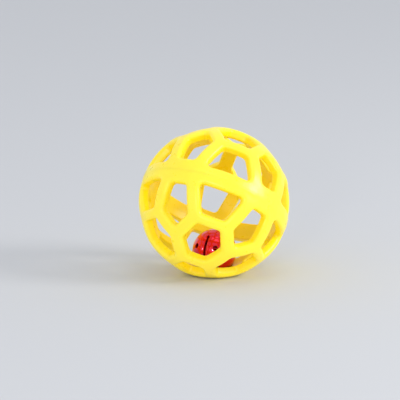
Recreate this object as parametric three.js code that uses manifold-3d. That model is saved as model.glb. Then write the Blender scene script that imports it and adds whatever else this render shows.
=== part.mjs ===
// Rubber lattice ball with a loose jingle bell inside.
// Millimetres, +Z up. The ball stands on z = 0 on one of its six-sided openings.
import * as THREE from 'three';
import { mergeVertices } from 'three/addons/utils/BufferGeometryUtils.js';
import Module from 'manifold-3d';

const wasm = await Module();
wasm.setup();

// Ball: two half shells of rubber
const BALL_DIAMETER = 90;
const WALL = 5.4;
const SEAM_GAP = 0.3;
const OUTER_BEVEL = 1.2;
const INNER_BEVEL = 0.5;
const CORNER_RADIUS = 3.2;
const FLAT_DEPTH = 0.5;
const SHELL_SEGMENTS = 30;
const SHELL_RINGS = 7;
const SHELL_LAST_RING = 79;
const CORNER_STEPS = 2;
const CORNER_SHARE = 0.45;
const SEARCH_STEPS = 60;

// Lattice: where the struts cross, in degrees from the pole and either side of a meridian
const POLE_RING = 18.1;
const FORK_RING = 38.6;
const ARCH_RING = 56.7;
const ARCH_HALF_TURN = 16;
const POST_HALF_TURN = 26.4;
const SIDES = 5;

// Struts: full widths on the outside of the ball
const POLE_STRUT = 7.4;
const SPOKE_STRUT = 9.2;
const FORK_STRUT = 8.2;
const ARCH_STRUT = 6.4;
const POST_STRUT = 8.2;
const BAND_AT_ARCH = 11.3;
const BAND_AT_FORK = 16.3;

// Bell: two pressed cups, a wire eye and a pellet
const BELL_DIAMETER = 26.5;
const CUP_THICKNESS = 0.6;
const LAP_REACH = 10;
const LAP_STEP = 78;
const FIT_CLEARANCE = 0.3;
const SLOT_WIDTH = 1.5;
const SLOT_REACH = 65;
const SOUND_HOLE = 3;
const SOUND_HOLE_ANGLE = 42;
const EYE_WIRE = 1.2;
const EYE_SPAN = 4;
const EYE_HEIGHT = 4.6;
const EYE_FOOT = 2.2;
const EYE_SIDES = 3;
const EYE_STEPS = 28;
const PELLET_DIAMETER = 6;
const BELL_LEAN = 80.6;
const BELL_TURN = 3.3;
const BELL_ROLL = 1.5;
const PETALS = 4;
const BELL_SEGMENTS = 24;
const CUP_RINGS = 6;
const DRILL_SEGMENTS = 12;
const PELLET_SEGMENTS = 16;
const PELLET_RINGS = 10;

const RADIUS = BALL_DIAMETER / 2;
const INNER_RADIUS = RADIUS - WALL;
const BELL_RADIUS = BELL_DIAMETER / 2;
const CUP_INSIDE = BELL_RADIUS - CUP_THICKNESS;
const LAP_OUTSIDE = CUP_INSIDE - FIT_CLEARANCE;
const LAP_INSIDE = LAP_OUTSIDE - CUP_THICKNESS;
const WELD = 1e-5;
const rad = THREE.MathUtils.degToRad;

// Directions from the centre of the ball, with the pole of a half along +Z
function direction(fromPole, around) {
  return new THREE.Vector3(0, 0, 1).applyAxisAngle(new THREE.Vector3(0, 1, 0), rad(fromPole))
    .applyAxisAngle(new THREE.Vector3(0, 0, 1), rad(around));
}

// Turns a geometry into a solid and back
function solid(geometry) {
  geometry.deleteAttribute('normal');
  geometry.deleteAttribute('uv');
  const merged = mergeVertices(geometry, WELD);
  return new wasm.Manifold(new wasm.Mesh({
    numProp: 3,
    vertProperties: new Float32Array(merged.attributes.position.array),
    triVerts: new Uint32Array(merged.index.array),
  }));
}

function geometryOf(body) {
  const mesh = body.getMesh();
  const geometry = new THREE.BufferGeometry();
  geometry.setAttribute('position', new THREE.BufferAttribute(new Float32Array(mesh.vertProperties), 3));
  geometry.setIndex(new THREE.BufferAttribute(new Uint32Array(mesh.triVerts), 1));
  return geometry;
}

function along(geometry, axis, position) {
  const turn = new THREE.Quaternion().setFromUnitVectors(new THREE.Vector3(0, 0, 1), axis);
  return geometry.applyQuaternion(turn).translate(position.x, position.y, position.z);
}

// Arc of a circle about the centre, as half a turned profile, in degrees from the pole
function arc(radius, angles) {
  return angles.map((angle) => (
    new THREE.Vector2(radius * Math.sin(rad(angle)), radius * Math.cos(rad(angle)))));
}

// Solid turned about Z from a profile with both ends on the axis
function turned(profile, segments) {
  profile[0].x = 0;
  profile[profile.length - 1].x = 0;
  return solid(new THREE.LatheGeometry(profile, segments).rotateX(Math.PI / 2));
}

// The openings of one half, each a ring of strut crossings with the width of the strut that
// follows each crossing
function openings() {
  const step = 360 / SIDES;
  const list = [];
  const pole = (k) => direction(POLE_RING, step * (k + 0.5));
  const fork = (k) => direction(FORK_RING, step * (k + 0.5));
  const arch = (k, side) => direction(ARCH_RING, step * k + side * ARCH_HALF_TURN);
  const post = (k, side) => direction(90, step * k + side * POST_HALF_TURN);
  const around = [...Array(SIDES).keys()];
  list.push(around.map((k) => ({ at: pole(k), strut: POLE_STRUT })));
  for (const k of around) {
    list.push([
      { at: pole(k - 1), strut: SPOKE_STRUT }, { at: fork(k - 1), strut: FORK_STRUT },
      { at: arch(k, -1), strut: ARCH_STRUT }, { at: arch(k, 1), strut: FORK_STRUT },
      { at: fork(k), strut: SPOKE_STRUT }, { at: pole(k), strut: POLE_STRUT },
    ]);
    list.push([
      { at: arch(k, -1), strut: POST_STRUT }, { at: post(k, -1), strut: BAND_AT_ARCH },
      { at: post(k, 1), strut: POST_STRUT }, { at: arch(k, 1), strut: ARCH_STRUT },
    ]);
    list.push([
      { at: fork(k), strut: FORK_STRUT }, { at: arch(k, 1), strut: POST_STRUT },
      { at: post(k, 1), strut: BAND_AT_FORK }, { at: post(k + 1, -1), strut: POST_STRUT },
      { at: arch(k + 1, -1), strut: FORK_STRUT },
    ]);
  }
  return list;
}

// Corners of an opening: each side is a plane through the centre, moved in by half its strut
function corners(opening, widen) {
  const count = opening.length;
  const sides = opening.map((crossing, i) => {
    const normal = crossing.at.clone().cross(opening[(i + 1) % count].at).normalize();
    return { normal, inset: Math.sin((crossing.strut / 2 - widen) / RADIUS) };
  });
  const middle = opening.reduce((sum, crossing) => sum.add(crossing.at), new THREE.Vector3());
  for (const side of sides) {
    if (side.normal.dot(middle) < 0) side.normal.negate();
  }
  return sides.map((side, i) => {
    const before = sides[(i + count - 1) % count];
    const cosine = before.normal.dot(side.normal);
    const share = 1 - cosine * cosine;
    const corner = before.normal.clone().multiplyScalar((before.inset - cosine * side.inset) / share)
      .addScaledVector(side.normal, (side.inset - cosine * before.inset) / share);
    const edge = before.normal.clone().cross(side.normal);
    if (edge.dot(opening[i].at) < 0) edge.negate();
    return corner.addScaledVector(edge, Math.sqrt((1 - corner.lengthSq()) / edge.lengthSq()));
  });
}

// Rounded outline of an opening on the unit sphere, with as many points for every widening
function outline(opening, widen) {
  const tips = corners(opening, widen);
  const axis = tips.reduce((sum, tip) => sum.add(tip), new THREE.Vector3()).normalize();
  const flat = tips.map((tip) => tip.clone().divideScalar(tip.dot(axis)));
  const points = [];
  flat.forEach((tip, i) => {
    const back = flat[(i + flat.length - 1) % flat.length].clone().sub(tip);
    const on = flat[(i + 1) % flat.length].clone().sub(tip);
    const half = back.angleTo(on) / 2;
    const wanted = (CORNER_RADIUS + widen) / RADIUS / Math.tan(half);
    const reach = Math.min(wanted, CORNER_SHARE * back.length(), CORNER_SHARE * on.length());
    const curve = new THREE.QuadraticBezierCurve3(
      tip.clone().addScaledVector(back.normalize(), reach), tip,
      tip.clone().addScaledVector(on.normalize(), reach));
    points.push(...curve.getPoints(CORNER_STEPS));
  });
  return points.map((point) => point.normalize());
}

// Closed solid through rings of equal count, each end closed by a fan from its middle
function loft(rings) {
  const count = rings[0].length;
  const positions = rings.flat().flatMap((point) => point.toArray());
  const index = [];
  const quad = (a, b, c, d) => index.push(a, b, c, a, c, d);
  for (let r = 0; r + 1 < rings.length; r += 1) {
    for (let i = 0; i < count; i += 1) {
      const next = (i + 1) % count;
      quad(r * count + i, r * count + next, (r + 1) * count + next, (r + 1) * count + i);
    }
  }
  const caps = [[0, true], [rings.length - 1, false]];
  for (const [ring, under] of caps) {
    const middle = rings[ring].reduce((sum, point) => sum.add(point), new THREE.Vector3());
    positions.push(...middle.divideScalar(count).toArray());
    const centre = positions.length / 3 - 1;
    for (let i = 0; i < count; i += 1) {
      const a = ring * count + i;
      const b = ring * count + ((i + 1) % count);
      index.push(...(under ? [centre, b, a] : [centre, a, b]));
    }
  }
  const geometry = new THREE.BufferGeometry();
  geometry.setAttribute('position', new THREE.Float32BufferAttribute(positions, 3));
  geometry.setIndex(index);
  return geometry;
}

// Cutter for one opening: radial walls, flared at both ends where the rubber's edges are eased
function openingCutter(opening) {
  const sections = [
    [INNER_RADIUS - WALL, INNER_BEVEL + WALL], [INNER_RADIUS + INNER_BEVEL, 0],
    [RADIUS - OUTER_BEVEL, 0], [RADIUS + WALL, OUTER_BEVEL + WALL],
  ];
  const rings = sections.map(([radius, widen]) => (
    outline(opening, widen).map((point) => point.multiplyScalar(radius))));
  const [a, b, c] = rings[0];
  const outward = b.clone().sub(a).cross(c.clone().sub(b)).dot(a) > 0;
  if (!outward) rings.forEach((ring) => ring.reverse());
  return solid(loft(rings));
}

// Axis about which a six-sided opening holds the widest round cap, found along its meridian
function restingAngle() {
  const [, sixSided] = openings();
  const edges = corners(sixSided, 0);
  const room = (angle) => {
    const axis = direction(angle, 0);
    return Math.min(...edges.map((tip, i) => {
      const normal = tip.clone().cross(edges[(i + 1) % edges.length]).normalize();
      return Math.abs(normal.dot(axis));
    }));
  };
  let low = POLE_RING;
  let high = ARCH_RING;
  for (let i = 0; i < SEARCH_STEPS; i += 1) {
    const third = (high - low) / 3;
    if (room(low + third) < room(high - third)) low += third;
    else high -= third;
  }
  return { angle: (low + high) / 2, reach: Math.asin(room((low + high) / 2)) };
}

const rest = restingAngle();

// Half shell with its pole along +Z and a six-sided opening over +X
function halfShell() {
  const rings = [...Array(SHELL_RINGS + 1).keys()].map((i) => (i * SHELL_LAST_RING) / SHELL_RINGS);
  const seam = SEAM_GAP / 2;
  const shell = turned([
    ...arc(INNER_RADIUS, rings), new THREE.Vector2(INNER_RADIUS, seam),
    new THREE.Vector2(RADIUS, seam), ...arc(RADIUS, rings).reverse(),
  ], SHELL_SEGMENTS);
  return openings().reduce((body, opening) => body.subtract(openingCutter(opening)), shell);
}

// The lower half is pressed flat where it stands: a thin slice is cut off across the opening
const STANDING_HEIGHT = RADIUS * Math.cos(rest.reach + OUTER_BEVEL / RADIUS) - FLAT_DEPTH;

function pressedHalf(half) {
  const down = direction(rest.angle, 0);
  const slab = new THREE.BoxGeometry(BALL_DIAMETER, BALL_DIAMETER, BALL_DIAMETER);
  const place = down.clone().multiplyScalar(STANDING_HEIGHT + RADIUS);
  return half.subtract(solid(along(slab, down, place)));
}

// The bell sits in the opening, clear of both edges of the bevel on its inner rim
function bellDepth() {
  const reach = BELL_RADIUS + FIT_CLEARANCE;
  const edges = [
    [INNER_RADIUS + INNER_BEVEL, rest.reach],
    [INNER_RADIUS, rest.reach + INNER_BEVEL / INNER_RADIUS],
  ];
  return Math.min(...edges.map(([radius, angle]) => (
    radius * Math.cos(angle) - Math.sqrt(reach ** 2 - (radius * Math.sin(angle)) ** 2))));
}

// Angles of the rings of a cup, from one to the other in equal steps
function ringAngles(from, to) {
  return [...Array(CUP_RINGS + 1).keys()].map((i) => from + ((to - from) * i) / CUP_RINGS);
}

// Bell cups, with the crown along +Z: the lower one has crossed slots and a hole in each petal
function slottedCup() {
  const cup = turned([
    ...arc(BELL_RADIUS, ringAngles(180, 90)), ...arc(CUP_INSIDE, ringAngles(90, 180)),
  ], BELL_SEGMENTS);
  const petal = 360 / PETALS;
  const slotHeight = BELL_RADIUS * (1 - Math.cos(rad(SLOT_REACH))) + CUP_THICKNESS;
  const cutters = [];
  for (let k = 0; k < PETALS; k += 1) {
    cutters.push(solid(new THREE.BoxGeometry(BELL_RADIUS, SLOT_WIDTH, slotHeight)
      .translate(BELL_RADIUS / 2, 0, slotHeight / 2 - BELL_RADIUS - CUP_THICKNESS)
      .rotateZ(rad(petal * k))));
    const axis = direction(180 - SOUND_HOLE_ANGLE, petal * (k + 0.5));
    const bore = SOUND_HOLE / 2;
    const drill = new THREE.CylinderGeometry(bore, bore, BELL_RADIUS, DRILL_SEGMENTS);
    const place = axis.clone().multiplyScalar(BELL_RADIUS);
    cutters.push(solid(along(drill.rotateX(Math.PI / 2), axis, place)));
  }
  return cutters.reduce((body, cutter) => body.subtract(cutter), cup);
}

// The upper cup steps in to a lap that sits inside the rim of the lower one
function crownCup() {
  const rim = THREE.MathUtils.radToDeg(Math.acos(FIT_CLEARANCE / BELL_RADIUS));
  const cup = turned([
    ...arc(CUP_INSIDE, ringAngles(0, LAP_STEP)),
    new THREE.Vector2(LAP_INSIDE, FIT_CLEARANCE + CUP_THICKNESS),
    ...arc(LAP_INSIDE, [90, 90 + LAP_REACH]),
    ...arc(LAP_OUTSIDE, [90 + LAP_REACH, 90]),
    new THREE.Vector2(LAP_OUTSIDE, FIT_CLEARANCE),
    ...arc(BELL_RADIUS, ringAngles(rim, 0)),
  ], BELL_SEGMENTS);
  const bore = EYE_WIRE / 2 + FIT_CLEARANCE;
  const holes = [-1, 1].map((side) => (
    solid(new THREE.CylinderGeometry(bore, bore, BELL_RADIUS, DRILL_SEGMENTS).rotateX(Math.PI / 2)
      .translate((side * EYE_SPAN) / 2, 0, BELL_RADIUS))));
  return holes.reduce((body, hole) => body.subtract(hole), cup);
}

// Wire eye: foot, leg, loop, leg, foot
function bellEye() {
  const x = EYE_SPAN / 2;
  const far = x + EYE_FOOT;
  const foot = Math.sqrt(CUP_INSIDE ** 2 - far ** 2) - FIT_CLEARANCE - EYE_WIRE / 2;
  const top = BELL_RADIUS + EYE_HEIGHT - EYE_WIRE / 2;
  const bend = EYE_WIRE;
  const path = new THREE.CurvePath();
  const point = (px, pz) => new THREE.Vector3(px, 0, pz);
  const line = (...ends) => path.add(new THREE.LineCurve3(...ends));
  const turn = (...points) => path.add(new THREE.QuadraticBezierCurve3(...points));
  line(point(-far, foot), point(-x - bend, foot));
  turn(point(-x - bend, foot), point(-x, foot), point(-x, foot + bend));
  line(point(-x, foot + bend), point(-x, top - x));
  turn(point(-x, top - x), point(-x, top), point(0, top));
  turn(point(0, top), point(x, top), point(x, top - x));
  line(point(x, top - x), point(x, foot + bend));
  turn(point(x, foot + bend), point(x, foot), point(x + bend, foot));
  line(point(x + bend, foot), point(far, foot));
  const wire = new THREE.Shape();
  wire.absarc(0, 0, EYE_WIRE / 2, 0, 2 * Math.PI);
  return solid(new THREE.ExtrudeGeometry(wire, {
    curveSegments: EYE_SIDES, steps: EYE_STEPS, bevelEnabled: false, extrudePath: path,
  }));
}

const rubber = { color: 0xffe92e, roughness: 0.48, metalness: 0 };
const redMetal = { color: 0xd8141c, roughness: 0.24, metalness: 0.9 };
const steel = { color: 0xb9bcc0, roughness: 0.3, metalness: 1 };

function piece(name, body, finish) {
  const mesh = new THREE.Mesh(geometryOf(body), new THREE.MeshStandardMaterial(finish));
  mesh.name = name;
  return mesh;
}

const half = halfShell();
const lowerHalf = piece('lower_half_shell', pressedHalf(half), rubber);
lowerHalf.rotation.set(Math.PI, 0, -Math.PI / 2);
const upperHalf = piece('upper_half_shell', half, rubber);
upperHalf.rotation.z = Math.PI / 2;

// The ball leans so that one six-sided opening of the lower half faces straight down
const ball = new THREE.Group();
ball.add(lowerHalf, upperHalf);
ball.rotation.x = rad(-rest.angle);

const bell = new THREE.Group();
bell.add(piece('bell_slotted_cup', slottedCup(), redMetal));
bell.add(piece('bell_crown_cup', crownCup(), redMetal));
bell.add(piece('bell_eye', bellEye(), redMetal));
bell.rotation.set(rad(-BELL_LEAN), 0, rad(BELL_ROLL));
const bellTurn = new THREE.Group();
bellTurn.add(bell);
bellTurn.rotation.z = rad(BELL_TURN);
bellTurn.position.z = -bellDepth();

// The pellet lies against the lap of the cups, at the lowest place round the bell's axis
const crown = direction(BELL_LEAN, 90 + BELL_TURN);
const down = new THREE.Vector3(0, 0, -1);
const pelletPlace = down.addScaledVector(crown, -down.dot(crown)).normalize()
  .multiplyScalar(LAP_INSIDE - FIT_CLEARANCE - PELLET_DIAMETER / 2);
const pelletBall = new THREE.SphereGeometry(PELLET_DIAMETER / 2, PELLET_SEGMENTS, PELLET_RINGS);
const pellet = piece('bell_pellet', solid(pelletBall), steel);
pellet.position.copy(pelletPlace).add(bellTurn.position);

const group = new THREE.Group();
group.add(ball, bellTurn, pellet);
for (const part of group.children) part.position.z += STANDING_HEIGHT;

export default group;
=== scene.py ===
import bpy
import numpy as np
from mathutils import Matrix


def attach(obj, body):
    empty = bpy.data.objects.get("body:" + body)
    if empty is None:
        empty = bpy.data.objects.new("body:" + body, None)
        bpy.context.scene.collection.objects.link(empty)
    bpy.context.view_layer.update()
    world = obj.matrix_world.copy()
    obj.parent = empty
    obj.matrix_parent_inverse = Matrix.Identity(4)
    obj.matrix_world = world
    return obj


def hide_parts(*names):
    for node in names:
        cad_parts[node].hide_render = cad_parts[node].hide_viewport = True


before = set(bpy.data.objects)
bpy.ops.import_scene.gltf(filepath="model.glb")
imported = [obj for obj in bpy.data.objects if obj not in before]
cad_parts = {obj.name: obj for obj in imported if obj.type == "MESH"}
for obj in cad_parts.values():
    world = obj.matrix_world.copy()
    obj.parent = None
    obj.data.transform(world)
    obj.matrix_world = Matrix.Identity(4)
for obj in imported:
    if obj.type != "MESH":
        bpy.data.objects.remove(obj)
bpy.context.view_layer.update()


# Camera
# The photograph was taken from well back, a little above the ball, so its lens is a long one.
# The ball sits right of the middle of the frame, which a small shift of the lens gives. A pixel
# is given by the ball's radius, 75.9 pixels in the photograph.
BALL_CENTRE = np.array([0.0, 0.0, 0.04280])
AZIMUTH, ELEVATION = np.radians(32.11), np.radians(11.87)
DISTANCE = 1.8
IMAGE_SIZE = 400
PIXEL_SIZE = 0.045 / 75.9
SHIFT_RIGHT, SHIFT_UP = -14.5, 2.6
SENSOR = 36.0

back = np.array([np.sin(AZIMUTH) * np.cos(ELEVATION), -np.cos(AZIMUTH) * np.cos(ELEVATION),
                 np.sin(ELEVATION)])
camera_data = bpy.data.cameras.new("camera")
camera_data.sensor_width = SENSOR
camera_data.lens = SENSOR * DISTANCE / (IMAGE_SIZE * PIXEL_SIZE)
camera_data.shift_x = SHIFT_RIGHT / IMAGE_SIZE
camera_data.shift_y = SHIFT_UP / IMAGE_SIZE
camera = bpy.data.objects.new("camera", camera_data)
bpy.context.scene.collection.objects.link(camera)
bpy.context.scene.camera = camera
bpy.context.scene.view_settings.view_transform = "Standard"
camera.location = BALL_CENTRE + back * DISTANCE
camera.rotation_euler = (np.pi / 2 - ELEVATION, 0, AZIMUTH)


# Floor and light
# A pale matt floor in a bright pale room: a window on the camera's right, a wide dim lamp on its
# left, a small one beside the camera that glints on the bell, and a ceiling lamp.
def srgb(code):
    """A colour given as an sRGB hex number, as linear red, green, blue and alpha."""
    parts = np.array([(code >> 16) & 255, (code >> 8) & 255, code & 255]) / 255
    linear = np.where(parts <= 0.04045, parts / 12.92, ((parts + 0.055) / 1.055) ** 2.4)
    return (*linear.tolist(), 1.0)


def add(tree, kind, links=None, **settings):
    """Adds a node: settings are its own properties, links its sockets' values or other sockets."""
    node = tree.nodes.new(kind)
    for name, value in settings.items():
        setattr(node, name, value)
    for name, value in (links or {}).items():
        if isinstance(value, bpy.types.NodeSocket):
            tree.links.new(value, node.inputs[name])
        else:
            node.inputs[name].default_value = value
    return node


def speckle(tree, place, size, detail):
    """Noise in patches about as wide as a size in mm, with as many finer octaves as the detail."""
    return add(tree, "ShaderNodeTexNoise", {"Vector": place, "Scale": 1000 / size,
                                            "Detail": detail}).outputs[0]


def blend(tree, share, first, second):
    """A colour between two others, by a share from 0 to 1."""
    return add(tree, "ShaderNodeMix", {0: share, 6: first, 7: second},
               data_type="RGBA").outputs[2]


def new_material(name):
    """An empty node material and its tree."""
    material = bpy.data.materials.new(name)
    material.use_nodes = True
    material.node_tree.nodes.clear()
    return material, material.node_tree


SHARP_ANGLE = np.radians(50)


def new_object(name, points, faces, material):
    """A mesh object at the origin from points in metres and faces, smooth where it is not sharp."""
    mesh = bpy.data.meshes.new(name)
    mesh.from_pydata(points.tolist(), [], faces.tolist() if hasattr(faces, "tolist") else faces)
    mesh.polygons.foreach_set("use_smooth", np.ones(len(mesh.polygons), bool))
    mesh.set_sharp_from_angle(angle=SHARP_ANGLE)
    mesh.materials.append(material)
    made = bpy.data.objects.new(name, mesh)
    bpy.context.scene.collection.objects.link(made)
    return made


FLOOR_SIZE = 4.0
floor_material, tree = new_material("matt_floor_paint")
ray = add(tree, "ShaderNodeLightPath").outputs
seen = add(tree, "ShaderNodeMath", {0: ray["Is Camera Ray"], 1: ray["Is Glossy Ray"]})
seen = add(tree, "ShaderNodeMath", {0: seen.outputs[0], 1: ray["Is Transmission Ray"]},
           use_clamp=True)
paint = blend(tree, seen.outputs[0], srgb(0xF2F2F2), srgb(0xC4C6CA))
shader = add(tree, "ShaderNodeBsdfPrincipled", {"Base Color": paint, "Roughness": 0.85})
add(tree, "ShaderNodeOutputMaterial", {"Surface": shader.outputs["BSDF"]})
corner = FLOOR_SIZE / 2
floor = new_object("floor", np.array([[-corner, -corner, 0], [corner, -corner, 0],
                                      [corner, corner, 0], [-corner, corner, 0]]),
                   np.array([[0, 1, 2, 3]]), floor_material)

world = bpy.data.worlds.new("pale_room")
bpy.context.scene.world = world
world.use_nodes = True
tree = world.node_tree
tree.nodes.clear()
sky = add(tree, "ShaderNodeBackground", {"Color": srgb(0xEEF0F4), "Strength": 1.0})
add(tree, "ShaderNodeOutputWorld", {"Surface": sky.outputs["Background"]})


def soft_lamp(name, azimuth, elevation, distance, size, watts, colour):
    """A square lamp aimed at the ball, from an azimuth and elevation about it in degrees. Its
    distance and the length of its sides are in metres."""
    turn, rise = np.radians(azimuth), np.radians(elevation)
    data = bpy.data.lights.new(name, "AREA")
    data.size, data.energy, data.color = size, watts, srgb(colour)[:3]
    lamp = bpy.data.objects.new(name, data)
    bpy.context.scene.collection.objects.link(lamp)
    lamp.location = BALL_CENTRE + distance * np.array([
        np.sin(turn) * np.cos(rise), -np.cos(turn) * np.cos(rise), np.sin(rise)])
    lamp.rotation_euler = (np.pi / 2 - rise, 0, turn)


soft_lamp("window", 106, 26, 1.5, 0.5, 11, 0xFFFDF8)
soft_lamp("ceiling", 50, 74, 1.6, 0.8, 1.5, 0xFFFFFF)
soft_lamp("front", 22, 15, 1.6, 0.16, 3.4, 0xFFFFFF)
soft_lamp("room_fill", -15, 8, 1.8, 1.4, 2, 0xF8F9FF)


# Ball
# Two half shells of yellow rubber, each moulded as an open lattice of struts about its pole and
# bonded to the other along the wide band. Edges are rounded, more outside than inside.
BALL_RADIUS = 45.0
WALL = 5.4
OUTER_ROUND = 2.4
INNER_ROUND = 0.8
CORNER_RADIUS = 3.2
LEAN = 35.954
POLE_RING, FORK_RING, ARCH_RING = 18.1, 38.6, 56.7
ARCH_HALF_TURN, POST_HALF_TURN = 16.0, 26.4
POLE_STRUT, SPOKE_STRUT, FORK_STRUT, ARCH_STRUT, POST_STRUT = 7.4, 9.2, 8.2, 6.4, 8.2
BAND_AT_ARCH, BAND_AT_FORK = 11.3, 16.3
CORNER_SHARE = 0.45
RIDGE_REACH = 14.0
RIDGE_SLOPE = 9.0
SEAM_NOTCH, NOTCH_REACH = 0.12, 0.4
FIFTH = 72
SIDE_POINTS, CORNER_PART = 20, 0.3
FACE_ROWS, OUTER_ROWS, WALL_ROWS, INNER_ROWS, BACK_ROWS = 8, 9, 5, 6, 5


def unit(vectors):
    """Vectors divided by their lengths."""
    return vectors / np.linalg.norm(vectors, axis=-1, keepdims=True)


def direction(from_pole, around):
    """Unit vector at an angle from +Z and an angle round it from +X, both in degrees."""
    a, b = np.radians(from_pole), np.radians(around)
    return np.stack([np.sin(a) * np.cos(b), np.sin(a) * np.sin(b), np.cos(a) + 0 * b], -1)


def cells():
    """The openings of one half: the crossings round each, and the strut after each crossing."""
    found = [([direction(POLE_RING, FIFTH * (k + 0.5)) for k in range(5)], [POLE_STRUT] * 5)]
    for k in range(5):
        pole = [direction(POLE_RING, FIFTH * (k + s)) for s in (-0.5, 0.5)]
        fork = [direction(FORK_RING, FIFTH * (k + s)) for s in (-0.5, 0.5)]
        arch = [direction(ARCH_RING, FIFTH * k + s * ARCH_HALF_TURN) for s in (-1, 1)]
        post = [direction(90, FIFTH * k + s * POST_HALF_TURN) for s in (-1, 1)]
        arch_on = direction(ARCH_RING, FIFTH * (k + 1) - ARCH_HALF_TURN)
        post_on = direction(90, FIFTH * (k + 1) - POST_HALF_TURN)
        found.append(([pole[0], fork[0], arch[0], arch[1], fork[1], pole[1]],
                      [SPOKE_STRUT, FORK_STRUT, ARCH_STRUT, FORK_STRUT, SPOKE_STRUT, POLE_STRUT]))
        found.append(([arch[0], post[0], post[1], arch[1]],
                      [POST_STRUT, BAND_AT_ARCH, POST_STRUT, ARCH_STRUT]))
        found.append(([fork[1], arch[1], post[1], post_on, arch_on],
                      [FORK_STRUT, POST_STRUT, BAND_AT_FORK, POST_STRUT, FORK_STRUT]))
    return found


def hole_corners(crossings, struts):
    """Corners of the hole: each side is a plane through the centre, moved in by half its strut,
    and a corner is where two such planes meet the unit sphere."""
    here, on = crossings, np.roll(crossings, -1, axis=0)
    normal = unit(np.cross(here, on))
    normal *= np.sign(normal @ crossings.sum(0))[:, None]
    inset = np.sin(np.asarray(struts) / 2 / BALL_RADIUS)
    before, inset_before = np.roll(normal, 1, axis=0), np.roll(inset, 1)
    cosine = (before * normal).sum(1)
    share = 1 - cosine ** 2
    corner = (before * ((inset_before - cosine * inset) / share)[:, None]
              + normal * ((inset - cosine * inset_before) / share)[:, None])
    edge = np.cross(before, normal)
    edge *= np.sign((edge * crossings).sum(1))[:, None]
    rest = np.sqrt((1 - (corner ** 2).sum(1)) / (edge ** 2).sum(1))
    return corner + edge * rest[:, None]


def cell_sheet(crossings, struts):
    """One opening as a grid. Along u it goes round the opening with the same spacing on each
    side, closer towards the crossings: t = (1 - cos(pi u)) / 2. Along v it runs from the middle
    of the struts over the outer face, round the outer edge, down the wall, round the inner edge
    and back to the middle of the struts inside. The hole's corners are parabolas, each over the
    first or last CORNER_PART of t on a side."""
    sides = len(crossings)
    t = (1 - np.cos(np.pi * np.arange(SIDE_POINTS) / SIDE_POINTS)) / 2
    on = np.roll(crossings, -1, axis=0)
    bend = np.arccos((crossings * on).sum(1))[:, None, None]
    s = t[None, :, None]
    middle = (np.sin((1 - s) * bend) * crossings[:, None]
              + np.sin(s * bend) * on[:, None]) / np.sin(bend)

    tips = hole_corners(crossings, struts)
    axis = unit(tips.sum(0))
    flat = tips / (tips @ axis)[:, None]
    ahead = np.roll(flat, -1, axis=0) - flat
    length = np.linalg.norm(ahead, axis=1)
    toward = ahead / length[:, None]
    behind = -np.roll(toward, 1, axis=0)
    half = np.arccos((toward * behind).sum(1)) / 2
    reach = np.minimum(CORNER_RADIUS / BALL_RADIUS / np.tan(half),
                       CORNER_SHARE * np.minimum(length, np.roll(length, 1)))
    reach_on, tip_on = np.roll(reach, -1)[:, None], np.roll(flat, -1, axis=0)
    toward_on = np.roll(toward, -1, axis=0)
    start, end = flat + toward * reach[:, None], tip_on - toward * reach_on
    mid_in = (flat * 2 + behind * reach[:, None] + toward * reach[:, None]) / 4 + flat / 2
    mid_out = (tip_on * 2 - toward * reach_on + toward_on * reach_on) / 4 + tip_on / 2
    share = CORNER_PART
    a = np.clip(t / share, 0, 1)[None, :, None]
    b = np.clip((t - share) / (1 - 2 * share), 0, 1)[None, :, None]
    c = np.clip((t - 1 + share) / share, 0, 1)[None, :, None]
    first_bend = flat + toward * reach[:, None] / 2
    last_bend = tip_on - toward * reach_on / 2
    arc_in = ((1 - a) ** 2 * mid_in[:, None] + 2 * a * (1 - a) * first_bend[:, None]
              + a ** 2 * start[:, None])
    arc_out = ((1 - c) ** 2 * end[:, None] + 2 * c * (1 - c) * last_bend[:, None]
               + c ** 2 * mid_out[:, None])
    straight = (1 - b) * start[:, None] + b * end[:, None]
    rim = np.where(t[None, :, None] < share, arc_in,
                   np.where(t[None, :, None] <= 1 - share, straight, arc_out))

    middle = middle.reshape(-1, 3)
    rim = unit(rim.reshape(-1, 3))
    tangent = unit(np.roll(rim, -1, axis=0) - np.roll(rim, 1, axis=0))
    inward = unit(np.cross(rim, tangent))
    inward *= np.sign((inward * (axis - rim)).sum(1))[:, None]

    def beside(offset, radius):
        """Directions at a distance back from the hole's wall, on a sphere of that radius."""
        return np.cos(offset / radius) * rim - np.sin(offset / radius) * inward

    def face(offset, radius, steps):
        """Directions from the middle of the struts to the start of the rounding, evenly along
        the great circle between them: (sin((1 - w) a) middle + sin(w a) edge) / sin(a)."""
        edge = beside(offset, radius)
        angle = np.arccos(np.clip((middle * edge).sum(1), -1, 1))[:, None]
        return [(np.sin((1 - w) * angle) * middle + np.sin(w * angle) * edge) / np.sin(angle)
                for w in np.linspace(0, 1, steps)]

    inner = BALL_RADIUS - WALL
    rows, radii = [], []
    for way in face(OUTER_ROUND, BALL_RADIUS, FACE_ROWS):
        rows.append(way)
        radii.append(BALL_RADIUS)
    for q in np.radians(np.linspace(0, 90, OUTER_ROWS)[1:]):
        rows.append(beside(OUTER_ROUND * (1 - np.sin(q)), BALL_RADIUS))
        radii.append(BALL_RADIUS - OUTER_ROUND * (1 - np.cos(q)))
    for radius in np.linspace(BALL_RADIUS - OUTER_ROUND, inner + INNER_ROUND, WALL_ROWS)[1:]:
        rows.append(rim)
        radii.append(radius)
    for q in np.radians(np.linspace(0, 90, INNER_ROWS)[1:]):
        rows.append(beside(INNER_ROUND * (1 - np.cos(q)), inner))
        radii.append(inner + INNER_ROUND * (1 - np.sin(q)))
    for way in face(INNER_ROUND, inner, BACK_ROWS)[::-1][1:]:
        rows.append(way)
        radii.append(inner)
    return np.stack(rows), np.asarray(radii)


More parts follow.
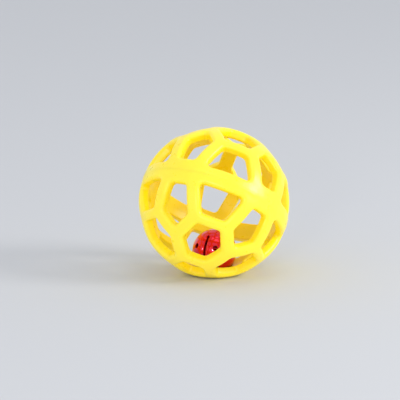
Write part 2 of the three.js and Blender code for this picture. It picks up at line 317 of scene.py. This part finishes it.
def half_shell():
    """All openings of one half, welded along the struts and closed along the seam. The radius
    falls a little either side of the seam, k x (1 - x)^2 with x the angle from it over
    RIDGE_REACH, which leaves a soft ridge round the band. A notch (1 - y)^2 deep, with y the
    angle over NOTCH_REACH, draws the seam itself."""
    points, quads, first = [], [], 0
    for crossings, struts in cells():
        ways, radii = cell_sheet(np.asarray(crossings), struts)
        height = np.abs(90 - np.degrees(np.arccos(np.clip(ways[..., 2], -1, 1))))
        x = np.clip(height / RIDGE_REACH, 0, 1)
        dip = BALL_RADIUS * np.radians(RIDGE_SLOPE) * np.radians(RIDGE_REACH) * x * (1 - x) ** 2
        notch = SEAM_NOTCH * np.clip(1 - height / NOTCH_REACH, 0, 1) ** 2
        depth = (radii[:, None] - BALL_RADIUS + WALL) / WALL
        body = ways * (radii[:, None] - (dip + notch) * depth)[..., None]
        rows, count = body.shape[:2]
        points.append(body.reshape(-1, 3))
        r, i = np.meshgrid(np.arange(rows - 1), np.arange(count), indexing="ij")
        on = (i + 1) % count
        square = np.stack([r * count + i, r * count + on, (r + 1) * count + on,
                           (r + 1) * count + i], -1).reshape(-1, 4)
        corner = body.reshape(-1, 3)[square[0]]
        if np.cross(corner[1] - corner[0], corner[3] - corner[0]) @ corner[0] < 0:
            square = square[:, ::-1]
        quads.append(square + first)
        first += rows * count
    return weld(np.concatenate(points), np.concatenate(quads))


def weld(points, quads):
    """Points that agree when rounded to a micron are made one, and open edges in the seam's plane
    are joined across the wall, outer ring to inner ring."""
    _, kept, same = np.unique(np.round(points, 3), axis=0, return_index=True, return_inverse=True)
    points, quads = points[kept], same.reshape(-1)[quads]
    edges = np.stack([quads, np.roll(quads, -1, axis=1)], -1).reshape(-1, 2)
    code = edges[:, 0] * len(points) + edges[:, 1]
    back_code = edges[:, 1] * len(points) + edges[:, 0]
    open_edges = edges[~np.isin(code, back_code)]
    out = np.linalg.norm(points[open_edges[:, 0]], axis=1) > BALL_RADIUS - WALL / 2

    def ordered(ring):
        """Ring edges sorted by the angle of their first point."""
        place = points[ring[:, 0]]
        return ring[np.argsort(np.arctan2(place[:, 1], place[:, 0]))]

    outer, inner = ordered(open_edges[out]), ordered(open_edges[~out])
    seam = np.stack([outer[:, 1], outer[:, 0], inner[:, 1], inner[:, 0]], -1)
    return points, np.concatenate([quads, seam])


def turn_x(angle):
    """Matrix that turns about X by an angle in degrees."""
    c, s = np.cos(np.radians(angle)), np.sin(np.radians(angle))
    return np.array([[1, 0, 0], [0, c, -s], [0, s, c]])


def turn_z(angle):
    """Matrix that turns about Z by an angle in degrees."""
    c, s = np.cos(np.radians(angle)), np.sin(np.radians(angle))
    return np.array([[c, -s, 0], [s, c, 0], [0, 0, 1]])


# The rubber is a springy moulded thermoplastic elastomer: saturated yellow, satin, with a fine
# orange-peel skin and light let a little way in, so that its edges glow. Its tint drifts over
# patches 17 mm across, it has sunk in the mould in swells of 9 mm, its shine wears in patches of
# 4 mm, and a grain of its skin is 0.9 mm across. The outer faces carry a painted sheen: their
# colour turns paler towards their crests, fading out 2.4 mm below the outer radius, and below it
# the walls and the inside keep the deep colour.
SHEEN_DEPTH = 2.4
TINT_PATCH, SWELL, WEAR_PATCH, SKIN_GRAIN = 17.0, 9.0, 4.0, 0.9
rubber, tree = new_material("moulded_elastomer")
place = add(tree, "ShaderNodeTexCoord").outputs["Object"]
cloud = speckle(tree, place, TINT_PATCH, 4.0)
deep = blend(tree, cloud, srgb(0xFFE004), srgb(0xFFE60A))
# The paler tint is the painted sheen of the outer faces, the deep yellow with its highlights
# painted in.
pale = blend(tree, cloud, srgb(0xFFE42A), srgb(0xFFEA3A))
radius = add(tree, "ShaderNodeVectorMath", {0: place, 1: BALL_CENTRE}, operation="DISTANCE")
# Painted sheen: a mask that rises towards the outer radius and turns the colour pale there, in
# place of highlights on the outer faces.
painted_sheen = add(tree, "ShaderNodeMapRange", {
    "Value": radius.outputs["Value"], "From Min": (BALL_RADIUS - SHEEN_DEPTH) / 1000,
    "From Max": BALL_RADIUS / 1000}, interpolation_type="SMOOTHSTEP")
tint = blend(tree, painted_sheen.outputs[0], deep, pale)
peel = speckle(tree, place, SKIN_GRAIN, 3.0)
swell = speckle(tree, place, SWELL, 1.0)
soft = add(tree, "ShaderNodeBump", {"Height": swell, "Strength": 0.5, "Distance": 0.0006})
bump = add(tree, "ShaderNodeBump", {"Height": peel, "Strength": 0.22, "Distance": 0.0003,
                                    "Normal": soft.outputs[0]})
wear = speckle(tree, place, WEAR_PATCH, 5.0)
satin = add(tree, "ShaderNodeMapRange", {"Value": wear, "From Min": 0.3, "From Max": 0.7,
                                         "To Min": 0.26, "To Max": 0.36})
shader = add(tree, "ShaderNodeBsdfPrincipled", {
    "Base Color": tint, "Roughness": satin.outputs[0], "IOR": 1.53,
    "Subsurface Weight": 0.25, "Subsurface Scale": 0.003, "Normal": bump.outputs[0]})
shader.inputs["Subsurface Radius"].default_value = (1.0, 0.72, 0.1)
add(tree, "ShaderNodeOutputMaterial", {"Surface": shader.outputs["BSDF"]})

half_points, half_quads = half_shell()
for name, node, turn in (("rubber_lower_half", "lower_half_shell", turn_x(180) @ turn_z(-90)),
                         ("rubber_upper_half", "upper_half_shell", turn_z(90))):
    placed = half_points @ (turn_x(-LEAN) @ turn).T / 1000 + BALL_CENTRE
    placed[:, 2] = np.maximum(placed[:, 2], 0)
    shell = new_object(name, placed, half_quads, rubber)
    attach(shell, "ball")
    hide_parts(node)


# Bell
# A round jingle bell of thin pressed steel, lacquered red: a lower cup with two crossed slots
# and a hole in each petal, an upper cup whose rim laps inside it, and a wire eye.
BELL_RADIUS = 13.25
SHEET, SHEET_EDGE = 0.6, 0.16
FIT_CLEARANCE = 0.3
BELL_CENTRE = np.array([0, 0, 13.4172])
BELL_TURN, BELL_LEAN, BELL_ROLL = 3.3, 80.6, 1.5
SLOT_HALF = 0.75
SLOT_REACH = 65.0
TIP_ROUND, TIP_GAP = 0.9, 0.15
LIP_CURL, LIP_WIDTH, LIP_FADE = 0.5, 0.8, 0.12
SOUND_HOLE = 3.0
SOUND_HOLE_ANGLE = 42.0
HOLE_RINGS, HOLE_SPREAD = 8, 0.8
HOLE_BLOCK = 13, 32, 9, 31
PETAL_ROWS, SLOT_END_ROWS, PETAL_COLUMNS = 37, 9, 41
RING_ROWS = 14
bell_turn = turn_z(BELL_TURN) @ turn_x(-BELL_LEAN) @ turn_z(BELL_ROLL)


def in_bell(points):
    """Points in the bell's own frame, crown up and in mm, put in place and made metres."""
    return (points @ bell_turn.T + BELL_CENTRE) / 1000


def grid_quads(rows, columns):
    """Quads of a grid of rows by columns."""
    r, c = np.meshgrid(np.arange(rows - 1), np.arange(columns - 1), indexing="ij")
    a = r * columns + c
    return np.stack([a, a + 1, a + columns + 1, a + columns], -1)


def petal():
    """A quarter of the slotted cup's outer skin below the ring, seen from its pole. Each row is an
    arc between two slots, at a distance from the pole that grows from the rounded tip to the
    slots' round ends. A block of the grid is left out for the sound hole, and rings blend from
    the block's border to the hole's circle, by w = (ring / rings)^HOLE_SPREAD. The lips along
    the slots curl in by LIP_CURL exp(-(d / LIP_WIDTH)^2), with d the distance from the slot."""
    tip = SLOT_HALF + TIP_ROUND
    start = np.arctan2(np.hypot(tip + TIP_GAP, SLOT_HALF), BELL_RADIUS)
    end = np.radians(SLOT_REACH)
    stop = end - SLOT_HALF / BELL_RADIUS
    bands = np.concatenate([
        np.linspace(start, stop, PETAL_ROWS)[:-1],
        stop + (end - stop) * np.sin(np.linspace(0, np.pi / 2, SLOT_END_ROWS))])
    reach = np.clip((bands - stop) / (end - stop), 0, 1)
    width = SLOT_HALF * np.sqrt(1 - reach ** 2)
    edge = np.arcsin(width / (BELL_RADIUS * np.sin(bands)))
    u = np.linspace(0, 1, PETAL_COLUMNS)
    around = edge[:, None] + (np.pi / 2 - 2 * edge[:, None]) * u
    rows = np.stack([np.sin(bands)[:, None] * np.cos(around),
                     np.sin(bands)[:, None] * np.sin(around),
                     -np.cos(bands)[:, None] + 0 * around], -1)
    q = 1.5 * np.pi - np.pi / 2 * u
    flat = np.stack([tip + TIP_ROUND * np.cos(q), tip + TIP_ROUND * np.sin(q)], -1) / BELL_RADIUS
    first = np.concatenate([flat, -np.sqrt(1 - (flat ** 2).sum(1))[:, None]], 1)
    skin = np.concatenate([first[None], rows])
    rows_count, columns = skin.shape[:2]
    quads = grid_quads(rows_count, columns)
    low, high, left, right = HOLE_BLOCK
    keep = np.ones(quads.shape[:2], bool)
    keep[low:high, left:right] = False
    index = np.arange(rows_count * columns).reshape(rows_count, columns)
    border = np.concatenate([index[low, left:right], index[low:high, right],
                             index[high, right:left:-1], index[high:low:-1, left]])
    rim = skin.reshape(-1, 3)[border]
    angle = np.radians(SOUND_HOLE_ANGLE)
    axis = np.array([np.sin(angle) / np.sqrt(2), np.sin(angle) / np.sqrt(2), -np.cos(angle)])
    outward = unit(rim - (rim @ axis)[:, None] * axis)
    size = np.arcsin(SOUND_HOLE / 2 / BELL_RADIUS)
    hole = np.cos(size) * axis + np.sin(size) * outward
    w = (np.linspace(0, 1, HOLE_RINGS + 1)[1:] ** HOLE_SPREAD)[:, None, None]
    rings = unit((1 - w) * rim + w * hole)
    count = len(border)
    table = np.concatenate([border[None], rows_count * columns
                            + np.arange(HOLE_RINGS * count).reshape(HOLE_RINGS, count)])
    a, b = table[:-1], table[1:]
    hole_quads = np.stack([a, np.roll(a, -1, 1), np.roll(b, -1, 1), b], -1).reshape(-1, 4)
    points = np.concatenate([skin.reshape(-1, 3), rings.reshape(-1, 3)]) * BELL_RADIUS
    beside = np.minimum(points[:, 0], points[:, 1]) - SLOT_HALF
    fade = np.clip((-points[:, 2] / BELL_RADIUS - np.cos(end)) / LIP_FADE, 0, 1)
    curl = 1 - LIP_CURL / BELL_RADIUS * fade * np.exp(-(beside / LIP_WIDTH) ** 2)
    return points * curl[:, None], np.concatenate([quads[keep], hole_quads])


def slotted_cup():
    """Four petals about the pole and the ring that joins them, welded, without the points that
    no face uses."""
    petal_points, petal_quads = petal()
    bands = np.radians(np.linspace(SLOT_REACH, 90, RING_ROWS))
    around = np.radians(np.linspace(0, 360, 4 * (PETAL_COLUMNS - 1) + 1))
    ring = BELL_RADIUS * np.stack([np.sin(bands)[:, None] * np.cos(around),
                                   np.sin(bands)[:, None] * np.sin(around),
                                   -np.cos(bands)[:, None] + 0 * around], -1)
    points = [petal_points @ turn_z(90 * k).T for k in range(4)] + [ring.reshape(-1, 3)]
    quads = [petal_quads + k * len(petal_points) for k in range(4)]
    quads.append(grid_quads(RING_ROWS, len(around)).reshape(-1, 4) + 4 * len(petal_points))
    points, quads = np.concatenate(points), np.concatenate(quads)
    _, kept, same = np.unique(np.round(points, 3), axis=0, return_index=True, return_inverse=True)
    used, quads = np.unique(same.reshape(-1)[quads], return_inverse=True)
    return points[kept][used], quads.reshape(-1, 4)


def finish_sheet(made, thickness, edge):
    """Gives a skin its thickness inwards and rounds the sheet's cut edges."""
    wall = made.modifiers.new("wall", "SOLIDIFY")
    wall.thickness, wall.offset, wall.use_even_offset = thickness / 1000, -1, True
    soft = made.modifiers.new("soft_edge", "BEVEL")
    soft.width, soft.segments, soft.limit_method = edge / 1000, 3, "ANGLE"
    soft.angle_limit = SHARP_ANGLE


def close_rings(rings, ends):
    """Joins rings of points one to the next with quads, and the first and last ring to an end
    point each with triangles."""
    count, sides = rings.shape[:2]
    k = np.arange(sides)
    on, last = (k + 1) % sides, (count - 1) * sides
    row = np.arange(count - 1)[:, None] * sides
    quads = np.stack([row + k, row + on, row + on + sides, row + k + sides], -1).reshape(-1, 4)
    start, end = count * sides + 0 * k, count * sides + 1 + 0 * k
    caps = np.concatenate([np.stack([start, on, k], -1),
                           np.stack([end, last + k, last + on], -1)])
    return np.concatenate([rings.reshape(-1, 3), ends]), quads.tolist() + caps.tolist()


def lathe(profile, sides):
    """Turns a profile of radius and height about the axis, on which it starts and ends."""
    around = np.radians(np.linspace(0, 360, sides + 1))[:-1]
    radius, height = profile[1:-1, :1], profile[1:-1, 1:]
    rings = np.stack([radius * np.cos(around), radius * np.sin(around), height + 0 * around], -1)
    return close_rings(rings, [[0, 0, profile[0, 1]], [0, 0, profile[-1, 1]]])


# The lacquer is a transparent red coat over bright steel: a mirror-like sheen with a red body.
# The pressing leaves waves 7.5 mm long in the sheet, and the coat is deeper in patches of 11 mm.
PRESS_WAVE, COAT_PATCH = 7.5, 11.0
lacquer, tree = new_material("red_lacquered_steel")
place = add(tree, "ShaderNodeTexCoord").outputs["Object"]
wave = speckle(tree, place, PRESS_WAVE, 1.0)
bump = add(tree, "ShaderNodeBump", {"Height": wave, "Strength": 0.03, "Distance": 0.0004})
depth = speckle(tree, place, COAT_PATCH, 4.0)
tint = blend(tree, depth, srgb(0xDC0C2A), srgb(0xE81834))
shader = add(tree, "ShaderNodeBsdfPrincipled", {
    "Base Color": tint, "Metallic": 0.85, "Roughness": 0.14, "Coat Weight": 0.6,
    "Coat Roughness": 0.04, "Normal": bump.outputs[0]})
add(tree, "ShaderNodeOutputMaterial", {"Surface": shader.outputs["BSDF"]})

cup_points, cup_quads = slotted_cup()
cup = new_object("bell_lower_cup", in_bell(cup_points), cup_quads, lacquer)
finish_sheet(cup, SHEET, SHEET_EDGE)
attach(cup, "bell")
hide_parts("bell_slotted_cup")

LAP_OUTSIDE = BELL_RADIUS - SHEET - FIT_CLEARANCE
LAP_INSIDE = LAP_OUTSIDE - SHEET
LAP_REACH, LAP_BEND, LAP_STEP = 1.9, 0.8, 78
BEND_ROUND = 0.1, 0.5
LAP_END = 0.98 * SHEET / 2
STEP_ROUND = 0.02
RIM_GAP = 0.3
RIM_TOP = 87.8
INSIDE_ROWS, LAP_ROWS, RIM_ROWS, OUTSIDE_ROWS = 27, 9, 5, 45
CROWN_SIDES = 160


def crown_profile():
    """Section of the upper cup: inside from the pole down to the lap, round its end, up outside
    the lap, out along the step, round the rim and over the outside back to the pole."""
    def bow(radius, angles, across=0, up=0):
        """Points of radius and height round a centre, at angles from straight up."""
        a = np.radians(angles)
        return np.stack([across + radius * np.sin(a), up + radius * np.cos(a)], -1)

    inside = bow(BELL_RADIUS - SHEET, np.linspace(0, LAP_STEP, INSIDE_ROWS))
    bend = [[LAP_INSIDE + BEND_ROUND[0], LAP_BEND + BEND_ROUND[1]], [LAP_INSIDE, LAP_BEND]]
    low = bow(LAP_END, np.linspace(270, 90, LAP_ROWS), (LAP_INSIDE + LAP_OUTSIDE) / 2, -LAP_REACH)
    step = [[LAP_OUTSIDE, RIM_GAP + STEP_ROUND], [LAP_OUTSIDE + STEP_ROUND, RIM_GAP],
            [BELL_RADIUS - SHEET_EDGE, RIM_GAP]]
    rim = bow(SHEET_EDGE, np.linspace(165, 90, RIM_ROWS), BELL_RADIUS - SHEET_EDGE,
              RIM_GAP + SHEET_EDGE)
    outside = bow(BELL_RADIUS, np.linspace(RIM_TOP, 0, OUTSIDE_ROWS))
    return np.concatenate([inside, bend, low, step, rim, outside])


crown_points, crown_faces = lathe(crown_profile(), CROWN_SIDES)
crown = new_object("bell_upper_cup", in_bell(crown_points), crown_faces, lacquer)
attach(crown, "bell")
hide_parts("bell_crown_cup")


# Eye
# A bent wire loop, lacquered with the bell: its legs go through the crown and its feet are bent
# out flat against the inside.
WIRE = 1.2
EYE_HALF = 2.0
EYE_HEIGHT = 4.6
EYE_FOOT = 2.2
WIRE_SIDES, CAP_RINGS, BEND_RINGS, FOOT_RINGS = 24, 5, 9, 5


def wire(path, radius, sides):
    """A round wire along a flat path in the XZ plane, with ends rounded as half a sphere: rings
    of points across the path, each spanned by the path's normal in its plane and by Y."""
    ahead = unit(np.gradient(path, axis=0))
    side = np.stack([-ahead[:, 2], 0 * ahead[:, 0], ahead[:, 0]], -1)
    up = np.array([0.0, 1.0, 0.0])
    around = np.linspace(2 * np.pi, 0, sides + 1)[:-1]
    cap = np.radians(np.linspace(75, 15, CAP_RINGS))
    thin = np.concatenate([np.cos(cap), np.ones(len(path)), np.cos(cap[::-1])])
    push = radius * np.concatenate([-np.sin(cap), np.zeros(len(path)), np.sin(cap[::-1])])
    last = len(path) - 1
    pick = np.concatenate([np.full(CAP_RINGS, 0), np.arange(last + 1), np.full(CAP_RINGS, last)])
    rings = (path[pick] + push[:, None] * ahead[pick])[:, None] + radius * thin[:, None, None] * (
        np.cos(around)[None, :, None] * side[pick][:, None] + np.sin(around)[None, :, None] * up)
    return close_rings(rings, [path[0] - radius * ahead[0], path[-1] + radius * ahead[-1]])


def eye_path():
    """Half the loop, foot, bend, leg and a quarter round to the top, then its mirror image."""
    inside = BELL_RADIUS - SHEET
    foot = np.sqrt(inside ** 2 - (EYE_HALF + EYE_FOOT) ** 2) - FIT_CLEARANCE - WIRE / 2
    top = BELL_RADIUS + EYE_HEIGHT - WIRE / 2
    bend = WIRE
    q = np.linspace(0, np.pi / 2, BEND_RINGS)
    parts = [np.stack([np.linspace(-EYE_HALF - EYE_FOOT, -EYE_HALF - bend, FOOT_RINGS + 1)[:-1],
                       np.full(FOOT_RINGS, foot)], -1),
             np.stack([-EYE_HALF - bend + bend * np.sin(q), foot + bend - bend * np.cos(q)], -1),
             np.stack([np.full(BEND_RINGS, -EYE_HALF),
                       np.linspace(foot + bend, top - EYE_HALF, BEND_RINGS + 2)[1:-1]], -1),
             np.stack([-EYE_HALF * np.cos(q), top - EYE_HALF + EYE_HALF * np.sin(q)], -1)]
    left = np.concatenate(parts)
    flat = np.concatenate([left, left[-2::-1] * [-1, 1]])
    return np.stack([flat[:, 0], 0 * flat[:, 0], flat[:, 1]], -1)


eye_points, eye_faces = wire(eye_path(), WIRE / 2, WIRE_SIDES)
eye = new_object("bell_wire_eye", in_bell(eye_points), eye_faces, lacquer)
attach(eye, "bell")
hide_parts("bell_eye")


# Pellet
# A loose steel ball that rattles inside the bell. It lies against the lap of the cups, at the
# lowest place round the bell's axis, and can't be seen from outside.
PELLET_RADIUS = 3.0
PELLET_RINGS, PELLET_SIDES = 33, 64
crown_way = bell_turn @ np.array([0, 0, 1.0])
fall = unit(np.array([0, 0, -1.0]) + crown_way[2] * crown_way)
pellet_place = BELL_CENTRE + fall * (LAP_INSIDE - FIT_CLEARANCE - PELLET_RADIUS)
q = np.radians(np.linspace(180, 0, PELLET_RINGS))
pellet_points, pellet_faces = lathe(
    np.stack([PELLET_RADIUS * np.sin(q), PELLET_RADIUS * np.cos(q)], -1), PELLET_SIDES)

# Plain steel shot, tumbled to a dull shine. Its scratches, really some 0.1 mm apart, are drawn
# 1 mm apart so that they show.
SCRATCH = 1.0
steel, tree = new_material("tumbled_steel")
place = add(tree, "ShaderNodeTexCoord").outputs["Object"]
scratch = speckle(tree, place, SCRATCH, 5.0)
dull = add(tree, "ShaderNodeMapRange", {"Value": scratch, "To Min": 0.22, "To Max": 0.42})
shader = add(tree, "ShaderNodeBsdfPrincipled", {
    "Base Color": srgb(0xB9BCC0), "Metallic": 1.0, "Roughness": dull.outputs[0]})
add(tree, "ShaderNodeOutputMaterial", {"Surface": shader.outputs["BSDF"]})
pellet = new_object("bell_shot", (pellet_points + pellet_place) / 1000, pellet_faces, steel)
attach(pellet, "pellet")
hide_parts("bell_pellet")
